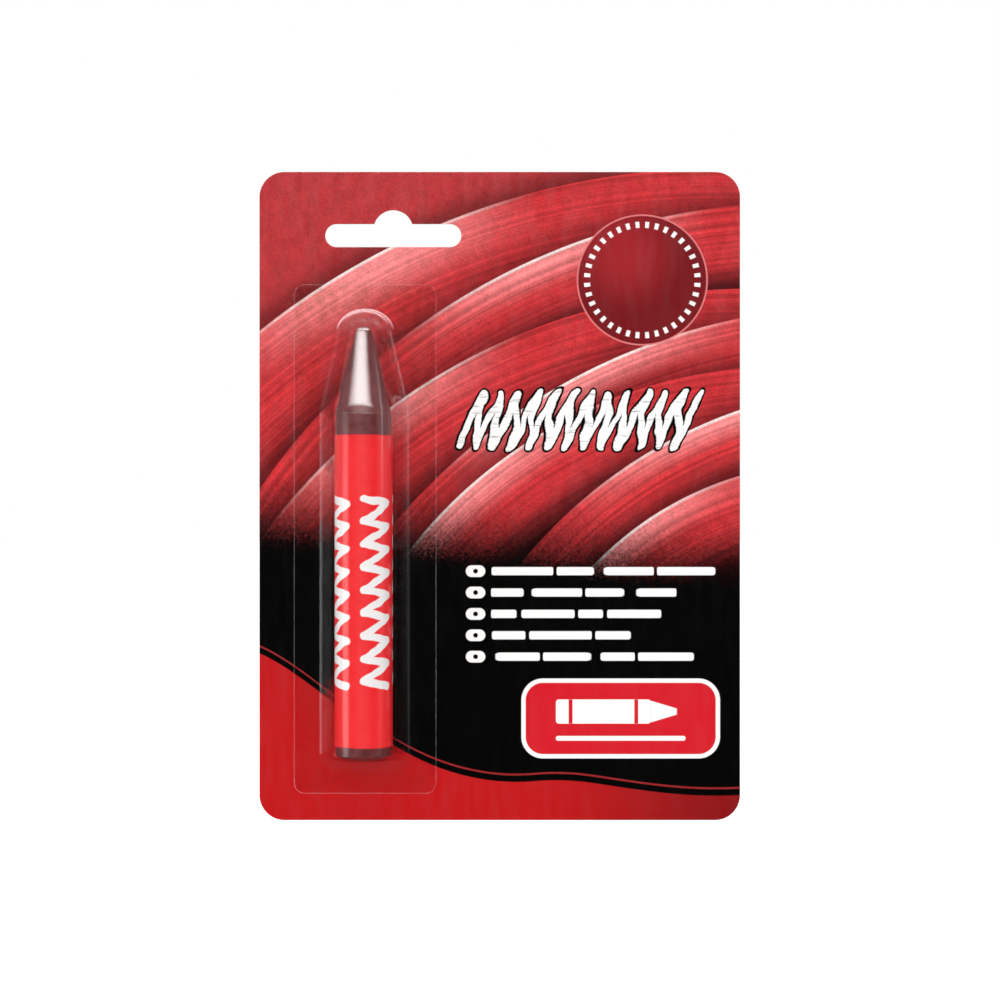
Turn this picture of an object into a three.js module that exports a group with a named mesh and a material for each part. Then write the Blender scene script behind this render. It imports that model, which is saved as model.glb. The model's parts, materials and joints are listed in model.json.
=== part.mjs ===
// Wax repair crayon on a blister card: a round wax stick in a paper wrapper lies loose under a clear
// thermoformed blister, and the blister's flange is heat-sealed to a die-cut card with a hang slot.
// Millimetres, +Z up. The printed front faces -Y and +X is to the right of someone who looks at it.
// The origin is the crown of the hang slot, where a display peg bears, on the back face of the card.

import * as THREE from 'three';
import { mergeVertices } from 'three/addons/utils/BufferGeometryUtils.js';

// Wax stick
const STICK_LENGTH = 98.2;
const STICK_RADIUS = 6.4;
const CONE_LENGTH = 20; // from the shoulder to the point
const POINT_RADIUS = 2; // rounding of the point
const HEEL_RADIUS = 0.6; // rounding of the edge at the flat end

// Paper wrapper
const PAPER_THICKNESS = 0.15;
const WRAPPER_FIT = 0.08; // radial clearance between paper and wax
const WRAPPER_LENGTH = 71.3;
const HEEL_BARE = 2.2; // wax left bare below the wrapper
const LAP_WIDTH = 6; // glued overlap of the paper, along the girth
const LAP_RAMP = 0.5; // stretch over which the paper climbs onto its own edge

// Blister
const FILM_THICKNESS = 0.35;
const CAVITY_CLEARANCE = 0.4; // between the crayon and the film or the card
const END_PLAY = 1; // how far the crayon can slide along its cavity
const NOSE_EXTRA = 1; // how much blunter the cavity's nose is than the crayon's point
const SIDE_DRAFT = THREE.MathUtils.degToRad(18); // of the walls beside the crayon
const END_DRAFT = THREE.MathUtils.degToRad(8); // of the walls at its point and heel
const FOOT_RADIUS = 2.7; // fillet between the wall and the flange
const FLANGE_SIDE = 4.8; // flat width beside the cavity
const FLANGE_TOP = 5.2;
const FLANGE_BOTTOM = 5.3;
const FLANGE_CORNER = 2.5;

// Heat seal
const SEAL_THICKNESS = 0.1;
const SEAL_INSET = 0.6; // the seal stays this far inside the flange's edges

// Backing card
const CARD_THICKNESS = 0.6;
const CARD_CORNER = 5.8;
const CARD_LEFT_MARGIN = 8; // card beside the flange on the left
const PRINT_PANEL = 70.3; // card beside the flange on the right
const CARD_BOTTOM_MARGIN = 6.2;
const CARD_ABOVE_SLOT = 8.9;
const SLOT_TO_FLANGE = 8.7;

// Hang slot
const SLOT_WIDTH = 31.5;
const SLOT_HEIGHT = 5.3; // of the bar
const HUMP_RADIUS = 4.6;
const HUMP_RISE = 3.2; // of the hump's crown over the bar
const SLOT_TO_CRAYON = 6.5; // from the slot's middle, left to the crayon's axis

// Facets
const ROUND_STEPS = 48; // round the crayon
const CORNER_STEPS = 10; // in a quarter turn of the card's and slot's edges
const OUTLINE_STEP = THREE.MathUtils.degToRad(18); // round the point and heel of the cavity
const DOME_STEPS = 7; // over the crayon, from a wall to the crest
const FOOT_STEPS = 4;

// Sizes that follow. The pack is laid out flat, with x to the right, y up and z out of the card's front,
// and is turned upright at the end. Depths are measured from the card's back.
const wrapperBore = STICK_RADIUS + WRAPPER_FIT;
const wrapperRadius = wrapperBore + PAPER_THICKNESS;
const lapRadius = wrapperRadius + PAPER_THICKNESS;
const sealFront = CARD_THICKNESS + SEAL_THICKNESS;
const flangeFront = sealFront + FILM_THICKNESS;
const axisDepth = CARD_THICKNESS + CAVITY_CLEARANCE + lapRadius;
const footCentreDepth = flangeFront + FOOT_RADIUS;
const domeOffset = CAVITY_CLEARANCE + FILM_THICKNESS; // from the crayon to the film's outside

// The walls lean more beside the crayon than at its ends, with a smooth change between the two.
const wallDraft = (normal) => THREE.MathUtils.lerp(END_DRAFT, SIDE_DRAFT, normal.x ** 2);
const footOffset = (draft) =>
  domeOffset + Math.tan(draft) * (axisDepth - footCentreDepth) + FOOT_RADIUS / Math.cos(draft);
const sideOffset = footOffset(SIDE_DRAFT);
const endOffset = footOffset(END_DRAFT);

const slotBottom = -HUMP_RISE - SLOT_HEIGHT;
const flangeTop = slotBottom - SLOT_TO_FLANGE;
const cavityPoint = flangeTop - FLANGE_TOP - endOffset;
const stickPoint = cavityPoint - END_PLAY;
const stickHeel = stickPoint - STICK_LENGTH;
const flangeBottom = stickHeel - endOffset - FLANGE_BOTTOM;
const axisX = -SLOT_TO_CRAYON;
const flangeHalfWidth = lapRadius + sideOffset + FLANGE_SIDE;
const cardLeft = axisX - flangeHalfWidth - CARD_LEFT_MARGIN;
const cardRight = axisX + flangeHalfWidth + PRINT_PANEL;
const cardBottom = flangeBottom - CARD_BOTTOM_MARGIN;

// Outlines

// Half outline of a crayon from its point to the middle of its heel, as points with outward normals.
// The cone is tangent to the round point, and every corner holds a fan of normals, so that the outline
// can be offset with an even gap.
function crayonOutline(radius, pointRadius, point, heel) {
  const samples = [];
  const addArc = (centreX, centreY, arcRadius, from, to) => {
    const steps = Math.max(1, Math.ceil(Math.abs(to - from) / OUTLINE_STEP - 1e-6));
    for (let step = 0; step <= steps; step += 1) {
      const angle = from + ((to - from) * step) / steps;
      const normal = new THREE.Vector2(Math.cos(angle), Math.sin(angle));
      const centre = new THREE.Vector2(centreX, centreY);
      samples.push({ position: centre.addScaledVector(normal, arcRadius), normal });
    }
  };
  const pointCentre = point - pointRadius;
  const shoulder = point - CONE_LENGTH;
  const toShoulder = Math.hypot(radius, pointCentre - shoulder);
  const coneAngle = Math.atan2(radius, pointCentre - shoulder) - Math.asin(pointRadius / toShoulder);
  addArc(0, pointCentre, pointRadius, Math.PI / 2, coneAngle);
  addArc(radius, shoulder, 0, coneAngle, 0);
  addArc(radius - HEEL_RADIUS, heel + HEEL_RADIUS, HEEL_RADIUS, 0, -Math.PI / 2);
  samples.push({ position: new THREE.Vector2(0, heel), normal: new THREE.Vector2(0, -1) });
  samples[0].position.x = 0;
  samples[0].normal.set(0, 1);
  return samples;
}

function offsetOutline(samples, distance) {
  return samples.map(({ position, normal }) => position.clone().addScaledVector(normal, distance));
}

// The line along which the foot of the walls meets the flat flange, moved out by a margin.
function footOutline(margin) {
  const half = cavityOutline.map(({ position, normal }) =>
    position.clone().addScaledVector(normal, footOffset(wallDraft(normal)) + margin),
  );
  return setOnAxis(mirrorOutline(half));
}

// Closes a half outline with its mirror image, clockwise from the point.
function mirrorOutline(half) {
  const left = half.slice(1, -1).reverse();
  return [...half, ...left.map((p) => p.clone().setX(-p.x))];
}

function setOnAxis(points) {
  return points.map((p) => p.clone().setX(axisX + p.x));
}

function roundedRectangle(left, right, bottom, top, corner) {
  const shape = new THREE.Shape();
  shape.absarc(right - corner, top - corner, corner, 0, Math.PI / 2);
  shape.absarc(left + corner, top - corner, corner, Math.PI / 2, Math.PI);
  shape.absarc(left + corner, bottom + corner, corner, Math.PI, 1.5 * Math.PI);
  shape.absarc(right - corner, bottom + corner, corner, 1.5 * Math.PI, 2 * Math.PI);
  shape.closePath();
  return shape;
}

function arcPoints(radius, from, to) {
  const steps = Math.max(1, Math.round((Math.abs(to - from) / (2 * Math.PI)) * ROUND_STEPS));
  const points = [];
  for (let step = 0; step <= steps; step += 1) {
    const angle = from + ((to - from) * step) / steps;
    points.push(new THREE.Vector2(radius * Math.cos(angle), radius * Math.sin(angle)));
  }
  return points;
}

const cavityOutline = crayonOutline(lapRadius, POINT_RADIUS + NOSE_EXTRA, cavityPoint, stickHeel);

function flangeOutline(inset) {
  return roundedRectangle(
    axisX - flangeHalfWidth + inset,
    axisX + flangeHalfWidth - inset,
    flangeBottom + inset,
    flangeTop - inset,
    FLANGE_CORNER,
  );
}

// Backing card

function hangSlot() {
  const endRadius = SLOT_HEIGHT / 2;
  const endX = SLOT_WIDTH / 2 - endRadius;
  const barMiddle = slotBottom + endRadius;
  const humpAngle = Math.asin((HUMP_RADIUS - HUMP_RISE) / HUMP_RADIUS);
  const slot = new THREE.Path();
  slot.absarc(endX, barMiddle, endRadius, -Math.PI / 2, Math.PI / 2);
  slot.absarc(0, -HUMP_RADIUS, HUMP_RADIUS, humpAngle, Math.PI - humpAngle);
  slot.absarc(-endX, barMiddle, endRadius, Math.PI / 2, 1.5 * Math.PI);
  slot.closePath();
  return slot;
}

function cardGeometry() {
  const shape = roundedRectangle(cardLeft, cardRight, cardBottom, CARD_ABOVE_SLOT, CARD_CORNER);
  shape.holes.push(hangSlot());
  return new THREE.ExtrudeGeometry(shape, {
    depth: CARD_THICKNESS,
    bevelEnabled: false,
    curveSegments: CORNER_STEPS,
  });
}

// Heat seal

function sealGeometry() {
  const shape = flangeOutline(SEAL_INSET);
  shape.holes.push(new THREE.Path(footOutline(SEAL_INSET)));
  const geometry = new THREE.ExtrudeGeometry(shape, {
    depth: SEAL_THICKNESS,
    bevelEnabled: false,
    curveSegments: CORNER_STEPS,
  });
  return geometry.translate(0, 0, CARD_THICKNESS);
}

// Blister

// Rings of one side of the film, from the edge of the flat flange up the foot fillet and the drafted wall
// and over the crayon. The film's inside has the same arcs as its outside, one film thickness further in.
function filmRings(thickness) {
  const rings = [];
  const footRadius = FOOT_RADIUS + thickness;
  for (let step = 0; step <= FOOT_STEPS; step += 1) {
    const half = cavityOutline.map(({ position, normal }) => {
      const draft = wallDraft(normal);
      const angle = -Math.PI / 2 - ((Math.PI / 2 - draft) * step) / FOOT_STEPS;
      const offset = footOffset(draft) + footRadius * Math.cos(angle);
      const place = position.clone().addScaledVector(normal, offset);
      return new THREE.Vector3(place.x, place.y, footCentreDepth + footRadius * Math.sin(angle));
    });
    rings.push(setOnAxis(mirrorOutline(half)));
  }
  const dome = mirrorOutline(offsetOutline(cavityOutline, domeOffset - thickness));
  for (let step = 0; step <= DOME_STEPS; step += 1) {
    const angle = ((Math.PI / 2) * step) / DOME_STEPS;
    const across = step === DOME_STEPS ? 0 : Math.cos(angle);
    const lift = Math.sin(angle);
    const onArc = (p) => new THREE.Vector3(axisX + p.x * across, p.y, axisDepth + Math.abs(p.x) * lift);
    rings.push(dome.map(onArc));
  }
  return rings;
}

// Closed film: outside, inside, both faces of the flat flange and the flange's cut edge.
function blisterGeometry() {
  const positions = [];
  const addTriangle = (a, b, c) => {
    const area = new THREE.Triangle(a, b, c).getArea();
    if (area > 1e-9) positions.push(...a, ...b, ...c);
  };
  const addStrip = (lower, upper, facesOut) => {
    for (let i = 0; i < lower.length; i += 1) {
      const j = (i + 1) % lower.length;
      const [a, b] = facesOut ? [i, j] : [j, i];
      addTriangle(lower[a], upper[a], lower[b]);
      addTriangle(upper[a], upper[b], lower[b]);
    }
  };
  const outside = filmRings(0);
  const inside = filmRings(FILM_THICKNESS);
  for (let k = 1; k < outside.length; k += 1) {
    addStrip(outside[k - 1], outside[k], true);
    addStrip(inside[k - 1], inside[k], false);
  }
  const edge = flangeOutline(0).getPoints(CORNER_STEPS).slice(0, -1);
  const foot = footOutline(0);
  const flat = [...edge, ...foot];
  const atDepth = (depth) => flat.map((p) => new THREE.Vector3(p.x, p.y, depth));
  const front = atDepth(flangeFront);
  const back = atDepth(sealFront);
  for (const [a, b, c] of THREE.ShapeUtils.triangulateShape(edge, [foot])) {
    addTriangle(front[a], front[b], front[c]);
    addTriangle(back[c], back[b], back[a]);
  }
  addStrip(back.slice(0, edge.length), front.slice(0, edge.length), false);
  const geometry = new THREE.BufferGeometry();
  geometry.setAttribute('position', new THREE.Float32BufferAttribute(positions, 3));
  return mergeVertices(geometry);
}

// Crayon

function stickGeometry() {
  const outline = crayonOutline(STICK_RADIUS, POINT_RADIUS, STICK_LENGTH, 0);
  return new THREE.LatheGeometry(outline.map((sample) => sample.position).reverse(), ROUND_STEPS);
}

// Rolled once round the stick, with the lap at the back, towards the card. The paper climbs onto its own
// inner edge over a short ramp and ends in a square step.
function wrapperGeometry() {
  const lapAngle = LAP_WIDTH / wrapperRadius;
  const rampAngle = LAP_RAMP / wrapperRadius;
  const lapStart = Math.PI / 2 - lapAngle / 2;
  const lapEnd = lapStart + lapAngle;
  const outer = [
    ...arcPoints(lapRadius, lapStart + rampAngle, lapEnd),
    ...arcPoints(wrapperRadius, lapEnd, lapStart + 2 * Math.PI),
  ];
  const shape = new THREE.Shape(outer);
  const bore = arcPoints(wrapperBore, 0, 2 * Math.PI).slice(0, -1);
  shape.holes.push(new THREE.Path(bore));
  const geometry = new THREE.ExtrudeGeometry(shape, { depth: WRAPPER_LENGTH, bevelEnabled: false });
  return geometry.rotateX(-Math.PI / 2);
}

// Assembly

function addPart(group, name, geometry, look) {
  const mesh = new THREE.Mesh(geometry, new THREE.MeshStandardMaterial(look));
  mesh.name = name;
  group.add(mesh);
  return mesh;
}

const crayon = new THREE.Group();
crayon.position.set(axisX, stickHeel, axisDepth);
addPart(crayon, 'wax_stick', stickGeometry(), { color: 0x6e3436, roughness: 0.45, metalness: 0 });
const wrapper = addPart(crayon, 'paper_wrapper', wrapperGeometry(), {
  color: 0xe02a30,
  roughness: 0.4,
  metalness: 0,
});
wrapper.position.y = HEEL_BARE;

const pack = new THREE.Group();
pack.rotation.x = Math.PI / 2;
addPart(pack, 'backing_card', cardGeometry(), { color: 0xb81c22, roughness: 0.35, metalness: 0 });
addPart(pack, 'heat_seal', sealGeometry(), { color: 0xd8d8d4, roughness: 0.5, metalness: 0 });
addPart(pack, 'blister', blisterGeometry(), {
  color: 0xf2f6f8,
  roughness: 0.08,
  metalness: 0,
  transparent: true,
  opacity: 0.3,
});
pack.add(crayon);

const part = new THREE.Group();
part.add(pack);

export default part;
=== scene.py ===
"""Looks of the carded wax repair crayon: printed card, clear blister, wax stick and paper wrapper.

Row frame, in metres: +Z up, +X to the right, the printed front faces -Y. The object's lengths are
written in millimetres times MM, and the stage's in metres. The print is drawn in millimetres from the
card's middle: u right, v up.
"""

import json
import math

import bmesh
import bpy
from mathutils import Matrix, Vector, noise
from mathutils.geometry import tessellate_polygon


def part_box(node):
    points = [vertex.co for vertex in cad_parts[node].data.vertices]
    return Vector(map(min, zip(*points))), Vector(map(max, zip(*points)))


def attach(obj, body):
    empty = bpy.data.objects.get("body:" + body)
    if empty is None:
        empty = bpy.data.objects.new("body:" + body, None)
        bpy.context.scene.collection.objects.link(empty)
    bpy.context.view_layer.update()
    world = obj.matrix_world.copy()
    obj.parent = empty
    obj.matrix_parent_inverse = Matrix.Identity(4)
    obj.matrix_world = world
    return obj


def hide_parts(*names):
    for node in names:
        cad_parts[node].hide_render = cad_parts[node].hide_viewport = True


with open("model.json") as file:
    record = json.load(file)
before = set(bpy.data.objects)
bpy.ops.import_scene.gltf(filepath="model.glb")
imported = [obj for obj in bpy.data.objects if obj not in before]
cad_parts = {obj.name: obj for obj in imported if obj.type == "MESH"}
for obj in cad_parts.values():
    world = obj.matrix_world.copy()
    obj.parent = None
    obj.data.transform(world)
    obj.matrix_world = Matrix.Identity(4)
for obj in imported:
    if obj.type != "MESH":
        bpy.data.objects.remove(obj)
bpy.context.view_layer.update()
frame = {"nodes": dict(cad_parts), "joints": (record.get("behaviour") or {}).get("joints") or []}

MM = 0.001

# Sizes from the frame
card_low, card_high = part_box("backing_card")
film_low, film_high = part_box("blister")
seal_low, seal_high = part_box("heat_seal")
stick_low, stick_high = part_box("wax_stick")
paper_low, paper_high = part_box("paper_wrapper")
slide = next(joint for joint in frame["joints"] if joint["name"] == "crayon_slide")

CARD_MIDDLE = (card_low + card_high) / 2
AXIS = Vector(((stick_low.x + stick_high.x) / 2, (stick_low.y + stick_high.y) / 2, 0))
STICK_RADIUS = (stick_high.x - stick_low.x) / 2
DOME_RADIUS = AXIS.y - film_low.y
END_PLAY = slide["range_m"][1]

# Sizes that repeat the construction
CONE_LENGTH = 20 * MM  # from the shoulder to the point
POINT_RADIUS = 2 * MM
NOSE_RADIUS = 3 * MM  # of the cavity over the point
HEEL_RADIUS = 0.6 * MM
FILM = 0.35 * MM
CLEARANCE = 0.4 * MM  # between the crayon and the film
SIDE_DRAFT = math.radians(18)  # of the walls beside the crayon
END_DRAFT = math.radians(8)  # of the walls at its point and heel
FOOT_RADIUS = 2.7 * MM  # fillet between the walls and the flange
FOOT_CENTRE_Y = film_high.y - FILM - FOOT_RADIUS
FLANGE_CORNER = 2.5 * MM
PAPER = 0.15 * MM
PAPER_FIT = 0.08 * MM  # between the paper and the wax
LAP_WIDTH = 6 * MM  # glued overlap of the paper
LAP_RAMP = 0.5 * MM  # stretch over which the paper climbs onto its own edge
WRAPPER_RADIUS = STICK_RADIUS + PAPER_FIT + PAPER

# Fine forms that only the looks have
CARD_EASE = 0.07 * MM  # easing of the card's edges
FLANGE_EASE = 0.14 * MM  # rounding of the flange's front edge
WAX_SHOULDER = 1 * MM  # rounding between the cone and the stick
FILM_SHOULDER = 12 * MM  # rounding of the film over it
HEEL_SINK = 0.35 * MM  # in the middle of the heel
SEAL_GAP = 0.02 * MM  # left free on each side of the lacquer
PAPER_SLACK = 0.01 * MM  # left free in the lap of the paper
PAPER_TRIM = 0.25 * MM  # unevenness of the paper's cut ends

# Mesh settings
FLANGE_CORNER_STEPS = 12
OUTLINE_PITCH = 2 * MM  # along straight stretches of the crayon
MERGE = 0.0005 * MM  # corners closer than this are one


def ink(red, green, blue):
    """A printed colour, from its 0 to 255 screen values, as a linear colour."""
    def linear(value):
        value /= 255
        return value / 12.92 if value <= 0.04045 else ((value + 0.055) / 1.055) ** 2.4

    return (linear(red), linear(green), linear(blue), 1)


# Node networks

class Field:
    """A number that varies over a surface: a node output that takes arithmetic."""

    def __init__(self, net, socket):
        self.net = net
        self.socket = socket

    def __add__(self, other):
        return self.net.math("ADD", self, other)

    def __sub__(self, other):
        return self.net.math("SUBTRACT", self, other)

    def __rsub__(self, other):
        return self.net.math("SUBTRACT", other, self)

    def __mul__(self, other):
        return self.net.math("MULTIPLY", self, other)

    def __truediv__(self, other):
        return self.net.math("DIVIDE", self, other)

    def __pow__(self, other):
        return self.net.math("POWER", self, other)

    def __neg__(self):
        return self.net.math("MULTIPLY", self, -1.0)

    def __abs__(self):
        return self.net.math("ABSOLUTE", self)

    def at_least(self, other):
        return self.net.math("MAXIMUM", self, other)

    def at_most(self, other):
        return self.net.math("MINIMUM", self, other)

    def floor(self):
        return self.net.math("FLOOR", self)

    def part(self):
        """What is left over the whole number below."""
        return self.net.math("FRACT", self)


class Net:
    """The node tree of a material, the world or a lamp, with short calls for the nodes used here."""

    def __init__(self, owner, output_kind="ShaderNodeOutputMaterial"):
        owner.use_nodes = True
        self.owner = owner
        self.tree = owner.node_tree
        self.tree.nodes.clear()
        self.output = self.node(output_kind)
        self.coordinates = self.node("ShaderNodeTexCoord").outputs

    def node(self, kind, **settings):
        """A new node with its settings."""
        made = self.tree.nodes.new(kind)
        for name, value in settings.items():
            setattr(made, name, value)
        return made

    def feed(self, socket, value):
        """Links a field or an output to an input, or sets the input to a plain value."""
        if isinstance(value, Field):
            value = value.socket
        if isinstance(value, bpy.types.NodeSocket):
            self.tree.links.new(value, socket)
        else:
            socket.default_value = value

    def math(self, operation, *values):
        made = self.node("ShaderNodeMath", operation=operation)
        for socket, value in zip(made.inputs, values):
            self.feed(socket, value)
        return Field(self, made.outputs[0])

    def length(self, across, along):
        """Length of the vector with these two parts."""
        return self.math("SQRT", across * across + along * along)

    def smooth(self, value, low, high, to_low=0.0, to_high=1.0):
        """Runs smoothly from to_low where value is low to to_high where it is high."""
        made = self.node("ShaderNodeMapRange", interpolation_type="SMOOTHSTEP")
        for socket, item in zip(made.inputs, (value, low, high, to_low, to_high)):
            self.feed(socket, item)
        return Field(self, made.outputs[0])

    def mix(self, factor, first, second):
        """A colour between two others."""
        made = self.node("ShaderNodeMix", data_type="RGBA")
        self.feed(made.inputs[0], factor)
        self.feed(made.inputs[6], first)
        self.feed(made.inputs[7], second)
        return made.outputs[2]

    def shaded(self, colour, level):
        """A colour made lighter or darker by a level."""
        made = self.node("ShaderNodeVectorMath", operation="SCALE")
        self.feed(made.inputs[0], colour)
        self.feed(made.inputs["Scale"], level)
        return made.outputs[0]

    def axes(self, vector):
        """The three parts of a vector."""
        made = self.node("ShaderNodeSeparateXYZ")
        self.feed(made.inputs[0], vector)
        return [Field(self, socket) for socket in made.outputs]

    def stretched(self, stretch):
        """Object coordinates in millimetres, stretched along each axis."""
        made = self.node("ShaderNodeVectorMath", operation="MULTIPLY")
        self.feed(made.inputs[0], self.coordinates["Object"])
        self.feed(made.inputs[1], [factor / MM for factor in stretch])
        return made.outputs[0]

    def noise(self, per_mm, detail=2.0, roughness=0.5, stretch=(1, 1, 1)):
        """Cloudy noise, about 0.5 on average, with so many clouds in a millimetre."""
        made = self.node("ShaderNodeTexNoise")
        self.feed(made.inputs["Vector"], self.stretched(stretch))
        self.feed(made.inputs["Scale"], per_mm)
        self.feed(made.inputs["Detail"], detail)
        self.feed(made.inputs["Roughness"], roughness)
        return Field(self, made.outputs[0])

    def streaks(self, value):
        """Noise along one measure only, for strokes that run across it."""
        made = self.node("ShaderNodeTexNoise", noise_dimensions="1D")
        self.feed(made.inputs["W"], value)
        self.feed(made.inputs["Scale"], 1.0)
        self.feed(made.inputs["Detail"], 4.0)
        self.feed(made.inputs["Roughness"], 0.65)
        return Field(self, made.outputs[0])

    def chance(self, value):
        """A steady chance number from 0 to 1 for each value."""
        made = self.node("ShaderNodeTexWhiteNoise", noise_dimensions="1D")
        self.feed(made.inputs["W"], value)
        return Field(self, made.outputs[0])

    def zigzag(self, along, across, legs, height, pitch, stroke):
        """Distance to a zigzag line with round turns, folded so that it is one straight leg."""
        leg_along = pitch / 2
        leg_across = height - stroke
        on_line = along.at_least(0).at_most(legs * leg_along)
        folded = self.math("PINGPONG", on_line, leg_along)
        raised = across + leg_across / 2
        leg_square = leg_along ** 2 + leg_across ** 2
        share = (folded * leg_along + raised * leg_across) / leg_square
        share = share.at_least(0).at_most(1)
        off_along = abs(folded - share * leg_along) + abs(along - on_line)
        off_across = raised - share * leg_across
        return self.length(off_along, off_across) - stroke / 2

    def bump(self, height, depth_mm, strength=1.0):
        """A surface normal that follows a height, with so many millimetres for a height of 1."""
        made = self.node("ShaderNodeBump")
        self.feed(made.inputs["Strength"], strength)
        self.feed(made.inputs["Distance"], depth_mm * MM)
        self.feed(made.inputs["Height"], height)
        return made.outputs[0]

    def shader(self, kind, **inputs):
        """A shader node with its inputs. Underscores in their names stand for spaces."""
        made = self.node(kind)
        for name, value in inputs.items():
            self.feed(made.inputs[name.replace("_", " ")], value)
        return made

    def mix_shaders(self, factor, first, second):
        made = self.node("ShaderNodeMixShader")
        for socket, value in zip(made.inputs, (factor, first.outputs[0], second.outputs[0])):
            self.feed(socket, value)
        return made

    def add_shaders(self, first, second):
        made = self.node("ShaderNodeAddShader")
        for socket, value in zip(made.inputs, (first.outputs[0], second.outputs[0])):
            self.feed(socket, value)
        return made

    def end(self, shader):
        """Makes a shader node the result of the net, and gives back what the net belongs to."""
        self.feed(self.output.inputs[0], shader.outputs[0])
        return self.owner

    def surface(self, **inputs):
        """Ends the net in a Principled shader."""
        return self.end(self.shader("ShaderNodeBsdfPrincipled", **inputs))


def material_net(name):
    return Net(bpy.data.materials.new(name))


# Drawing on the card

class Page:
    """The card's front as a page for flat shapes. Distances are in millimetres, negative inside."""

    def __init__(self, net):
        self.net = net
        x, _, z = net.axes(net.coordinates["Object"])
        self.u = (x - CARD_MIDDLE.x) / MM
        self.v = (z - CARD_MIDDLE.z) / MM

    def disc(self, u, v, radius):
        return self.net.length(self.u - u, self.v - v) - radius

    def box(self, u, v, width, height, corner):
        across = (abs(self.u - u) - (width / 2 - corner)).at_least(0)
        along = (abs(self.v - v) - (height / 2 - corner)).at_least(0)
        return self.net.length(across, along) - corner

    def scribble(self, u, v, legs, height, pitch, stroke, lean, unrest):
        """A hand-drawn zigzag from u on to the right, leaning, with an uneven hand."""
        wobble = (self.net.noise(per_mm=0.16, detail=1.0) - 0.5) * unrest
        run = self.u - u - (self.v - v) * lean + wobble
        return self.net.zigzag(run, self.v - v + wobble * 0.6, legs, height, pitch, stroke)

    def inside(self, distance, soft=0.09):
        """1 inside a shape and 0 outside, with a soft edge."""
        return self.net.smooth(distance, soft, -soft)


# Inks of the card
RIBBON_LIT = ink(255, 142, 142)
RIBBON_RED = ink(205, 44, 49)
RIBBON_BACK = ink(190, 50, 54)
RIBBON_DEEP = ink(66, 6, 11)
RIBBON_SHADOW = ink(34, 2, 5)
GLINT = ink(255, 232, 228)
FOOT_RED = ink(191, 6, 12)
FOOT_DEEP = ink(138, 8, 12)
FOOT_LINE = ink(150, 30, 34)
PLATE_RED = ink(214, 12, 32)
SWATCH_RED = ink(120, 14, 22)
SWATCH_LIT = ink(196, 36, 44)
SWATCH_EDGE = ink(226, 120, 122)
BLACK = ink(3, 3, 3)
WHITE = ink(252, 250, 248)

# Ribbons, back to front: middle of the arc (u, v), radius, fall-off and lit point (u, v)
RIBBONS = (
    (52, -96, 172, 34, (-30, 52)),
    (70, -84, 152, 22, (8, 62)),
    (58, -92, 140, 26, (-36, 30)),
    (84, -98, 142, 20, (20, 28)),
    (66, -80, 110, 22, (-8, 2)),
    (92, -86, 112, 18, (48, 22)),
    (78, -70, 78, 20, (26, -14)),
)


def draw_ribbons(net, page):
    """Brushed ribbons with lit rims and streaky sheets, each with its shadow on those behind it."""
    back_lean, back_rise = 0.4, 80
    shadow_reach, shadow_strength = 7, 0.6
    rim_inner, rim_outer = -0.9, -0.3
    light_reach, light_core = 44, 4
    streak_pitch, streak_lean, streak_shift = 0.8, 0.015, 17
    mottle = net.noise(per_mm=0.35, detail=4.0, roughness=0.6)
    tooth = net.noise(per_mm=2.2, detail=3.0, roughness=0.6)
    colour = net.mix(net.smooth(page.v - page.u * back_lean, 0, back_rise), RIBBON_DEEP, RIBBON_BACK)
    for number, (u, v, radius, fall, (lit_u, lit_v)) in enumerate(RIBBONS):
        depth = page.disc(u, v, radius)
        shadow = net.smooth(depth, shadow_reach, -1, 0, shadow_strength)
        colour = net.mix(shadow, colour, RIBBON_SHADOW)
        near_light = net.smooth(page.disc(lit_u, lit_v, 0), light_reach, light_core)
        sheet = net.mix(net.smooth(depth, -0.45 * fall, -fall), RIBBON_RED, RIBBON_DEEP)
        edge = net.mix(near_light, RIBBON_RED, RIBBON_LIT)
        sheet = net.mix(net.smooth(depth, -0.4 * fall, -0.04 * fall), sheet, edge)
        streaks = net.streaks(depth * streak_pitch + page.u * streak_lean + number * streak_shift)
        sheet = net.shaded(sheet, net.smooth(streaks, 0.25, 0.75, 0.72, 1.28))
        rim = net.smooth(depth, rim_inner, rim_outer) * near_light
        sheet = net.mix(rim, sheet, GLINT)
        colour = net.mix(page.inside(depth), colour, sheet)
    return net.shaded(colour, net.smooth(mottle * 0.45 + tooth * 0.55, 0.3, 0.7, 0.74, 1.14))


def draw_ground(net, page, colour):
    """The fade to black below the ribbons and the red wave along the foot of the card."""
    fade_top, fade_bottom, fade_lean, fade_spray = 2, -17, 0.1, 14
    foot_level, left_rise, right_rise = -69, 32, 3
    ripple_height, ripple_rate, ripple_phase = 3.2, 0.075, 0.6
    line_gap, line_half_width = 1.7, 0.22
    grain = net.noise(per_mm=1.4, detail=5.0, roughness=0.75)
    fade = page.v + page.u * fade_lean + (grain - 0.5) * fade_spray
    colour = net.mix(net.smooth(fade, fade_top, fade_bottom), colour, BLACK)
    left_swell = net.smooth(page.u, 8, -62) * left_rise
    right_swell = net.smooth(page.u, 22, 58) * right_rise
    ripple = net.math("SINE", page.u * ripple_rate + ripple_phase) * ripple_height
    crest = left_swell + ripple + right_swell + foot_level
    line = abs(page.v - crest - line_gap) - line_half_width
    colour = net.mix(page.inside(line), colour, FOOT_LINE)
    foot = net.mix(net.smooth(page.u, 5, 58), FOOT_RED, FOOT_DEEP)
    return net.mix(page.inside(page.v - crest), colour, foot)


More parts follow.
